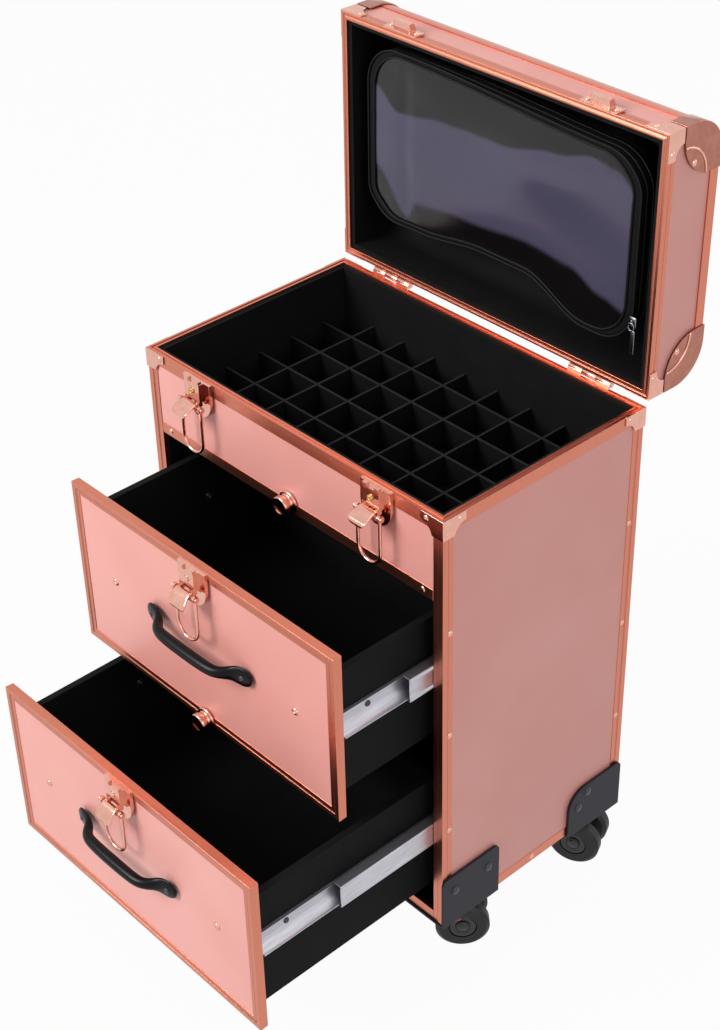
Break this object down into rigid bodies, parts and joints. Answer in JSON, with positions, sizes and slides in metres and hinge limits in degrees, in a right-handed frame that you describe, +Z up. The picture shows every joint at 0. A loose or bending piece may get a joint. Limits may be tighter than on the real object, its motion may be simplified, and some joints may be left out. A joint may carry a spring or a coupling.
{
  "type": "makeup train case",
  "caption": "Wheeled makeup train case with a hinged lid and clear zipped pocket, a divided bottle tray and latched drawers on telescopic slides.",
  "frame": {"origin": "on the floor, under the middle of the case body", "axes": "+Z up, -Y out of the front where the drawers open, +X to the right as seen from the front"},
  "size_m": [0.3586, 0.5021, 0.6915],
  "materials": {
    "copper_rail": "rose copper anodised, satin",
    "copper_sheet": "rose copper anodised sheet, satin",
    "pink_panel": "satin pink laminate on board",
    "black_lining": "black woven lining on board",
    "black_board": "black faced board",
    "divider_foam": "black flocked strips",
    "zinc_slide": "bright zinc-plated steel",
    "rose_hardware": "polished rose-gold plating on steel",
    "slate_steel": "dark slate paint",
    "black_plastic": "black moulded",
    "clear_pocket": "clear film over black fabric, with a zip",
    "wheel_rubber": "black moulded tread"
  },
  "bodies": {
    "case": {"corner_posts": "copper_rail", "rim_rails": "copper_rail", "lower_rails": "copper_rail", "front_panel": "pink_panel", "wall_panels": "pink_panel", "bottom_board": "black_board", "tray_floor": "black_lining", "lining_boards": "black_lining", "tray_divider_strips": "divider_foam", "slide_cabinet_members": "zinc_slide", "body_latch_cases": "rose_hardware", "panel_stud": "rose_hardware", "case_hinge_leaves": "rose_hardware", "hinge_pins": "rose_hardware", "case_corner_pieces": "copper_sheet", "wheel_brackets": "slate_steel", "case_rivets": "rose_hardware"},
    "lid": {"lid_corner_caps": "copper_sheet", "lid_corner_pieces": "copper_sheet", "lid_edge_rails": "copper_rail", "lid_handle": "black_plastic", "lid_hinge_leaves": "rose_hardware", "lid_keepers": "rose_hardware", "lid_lining": "black_lining", "lid_panels": "pink_panel", "lid_pocket": "clear_pocket", "lid_rim_rails": "copper_rail", "lid_rivets": "rose_hardware"},
    "upper_drawer": {"upper_drawer_box": "black_lining", "upper_front_edging": "copper_rail", "upper_front_panel": "pink_panel", "upper_handle": "black_plastic", "upper_latch_case": "rose_hardware", "upper_slide_drawer_members": "zinc_slide", "upper_stud": "rose_hardware"},
    "upper_slide_middles": {"upper_slide_middle_members": "zinc_slide"},
    "lower_drawer": {"lower_drawer_box": "black_lining", "lower_front_edging": "copper_rail", "lower_front_panel": "pink_panel", "lower_handle": "black_plastic", "lower_latch_case": "rose_hardware", "lower_slide_drawer_members": "zinc_slide"},
    "lower_slide_middles": {"lower_slide_middle_members": "zinc_slide"},
    "left_lever": {"left_latch_lever": "rose_hardware"},
    "left_bail": {"left_latch_bail": "rose_hardware"},
    "right_lever": {"right_latch_lever": "rose_hardware"},
    "right_bail": {"right_latch_bail": "rose_hardware"},
    "upper_lever": {"upper_latch_lever": "rose_hardware"},
    "upper_bail": {"upper_latch_bail": "rose_hardware"},
    "lower_lever": {"lower_latch_lever": "rose_hardware"},
    "lower_bail": {"lower_latch_bail": "rose_hardware"},
    "front_right_swivel": {"front_right_caster_hood": "black_plastic"},
    "front_right_wheels": {"front_right_caster_wheels": "wheel_rubber"},
    "rear_right_swivel": {"rear_right_caster_hood": "black_plastic"},
    "rear_right_wheels": {"rear_right_caster_wheels": "wheel_rubber"},
    "front_left_swivel": {"front_left_caster_hood": "black_plastic"},
    "front_left_wheels": {"front_left_caster_wheels": "wheel_rubber"},
    "rear_left_swivel": {"rear_left_caster_hood": "black_plastic"},
    "rear_left_wheels": {"rear_left_caster_wheels": "wheel_rubber"}
  },
  "joints": [
    {"name": "lid_hinge", "type": "hinge", "parent": "case", "child": "lid", "pos_m": [0, 0.111, 0.465], "axis": [-1, 0, 0], "range_deg": [-90.8, 0]},
    {"name": "upper_drawer_slide", "type": "slide", "parent": "case", "child": "upper_drawer", "axis": [0, -1, 0], "range_m": [-0.095, 0.095]},
    {"name": "upper_middle_slide", "type": "slide", "parent": "case", "child": "upper_slide_middles", "axis": [0, -1, 0], "range_m": [-0.0476, 0.0476]},
    {"name": "lower_drawer_slide", "type": "slide", "parent": "case", "child": "lower_drawer", "axis": [0, -1, 0], "range_m": [-0.183, 0.01]},
    {"name": "lower_middle_slide", "type": "slide", "parent": "case", "child": "lower_slide_middles", "axis": [0, -1, 0], "range_m": [-0.1072, 0.006]},
    {"name": "left_lever_turn", "type": "hinge", "parent": "case", "child": "left_lever", "pos_m": [-0.103, -0.1175, 0.4425], "axis": [-1, 0, 0], "range_deg": [-67, 23]},
    {"name": "left_bail_turn", "type": "hinge", "parent": "case", "child": "left_bail", "pos_m": [-0.103, -0.1175, 0.4425], "axis": [-1, 0, 0], "range_deg": [0, 188]},
    {"name": "right_lever_turn", "type": "hinge", "parent": "case", "child": "right_lever", "pos_m": [0.103, -0.1175, 0.4425], "axis": [-1, 0, 0], "range_deg": [-67, 23]},
    {"name": "right_bail_turn", "type": "hinge", "parent": "case", "child": "right_bail", "pos_m": [0.103, -0.1175, 0.4425], "axis": [-1, 0, 0], "range_deg": [0, 188]},
    {"name": "upper_lever_turn", "type": "hinge", "parent": "upper_drawer", "child": "upper_lever", "pos_m": [0, -0.2125, 0.3635], "axis": [-1, 0, 0], "range_deg": [-36, 54]},
    {"name": "upper_bail_turn", "type": "hinge", "parent": "upper_drawer", "child": "upper_bail", "pos_m": [0, -0.2125, 0.3635], "axis": [-1, 0, 0], "range_deg": [0, 188]},
    {"name": "lower_lever_turn", "type": "hinge", "parent": "lower_drawer", "child": "lower_lever", "pos_m": [0, -0.3005, 0.2005], "axis": [-1, 0, 0], "range_deg": [-36, 54]},
    {"name": "lower_bail_turn", "type": "hinge", "parent": "lower_drawer", "child": "lower_bail", "pos_m": [0, -0.3005, 0.2005], "axis": [-1, 0, 0], "range_deg": [0, 188]},
    {"name": "front_right_swivel_turn", "type": "hinge", "parent": "case", "child": "front_right_swivel", "pos_m": [0.137, -0.0745, 0.05], "axis": [0, 0, 1], "continuous": true},
    {"name": "front_right_wheels_roll", "type": "hinge", "parent": "front_right_swivel", "child": "front_right_wheels", "pos_m": [0.14756, -0.06248, 0.023], "axis": [-0.7513, 0.66, 0], "continuous": true},
    {"name": "rear_right_swivel_turn", "type": "hinge", "parent": "case", "child": "rear_right_swivel", "pos_m": [0.137, 0.0745, 0.05], "axis": [0, 0, 1], "continuous": true},
    {"name": "rear_right_wheels_roll", "type": "hinge", "parent": "rear_right_swivel", "child": "rear_right_wheels", "pos_m": [0.1515, 0.08126, 0.023], "axis": [-0.4226, 0.9063, 0], "continuous": true},
    {"name": "front_left_swivel_turn", "type": "hinge", "parent": "case", "child": "front_left_swivel", "pos_m": [-0.137, -0.0745, 0.05], "axis": [0, 0, 1], "continuous": true},
    {"name": "front_left_wheels_roll", "type": "hinge", "parent": "front_left_swivel", "child": "front_left_wheels", "pos_m": [-0.15204, -0.07997, 0.023], "axis": [0.342, -0.9397, 0], "continuous": true},
    {"name": "rear_left_swivel_turn", "type": "hinge", "parent": "case", "child": "rear_left_swivel", "pos_m": [-0.137, 0.0745, 0.05], "axis": [0, 0, 1], "continuous": true},
    {"name": "rear_left_wheels_roll", "type": "hinge", "parent": "rear_left_swivel", "child": "rear_left_wheels", "pos_m": [-0.145, 0.08836, 0.023], "axis": [-0.866, -0.5, 0], "continuous": true}
  ],
  "couplings": [
    {"joint": "upper_middle_slide", "follows": "upper_drawer_slide", "ratio": 0.5},
    {"joint": "lower_middle_slide", "follows": "lower_drawer_slide", "ratio": 0.585}
  ]
}
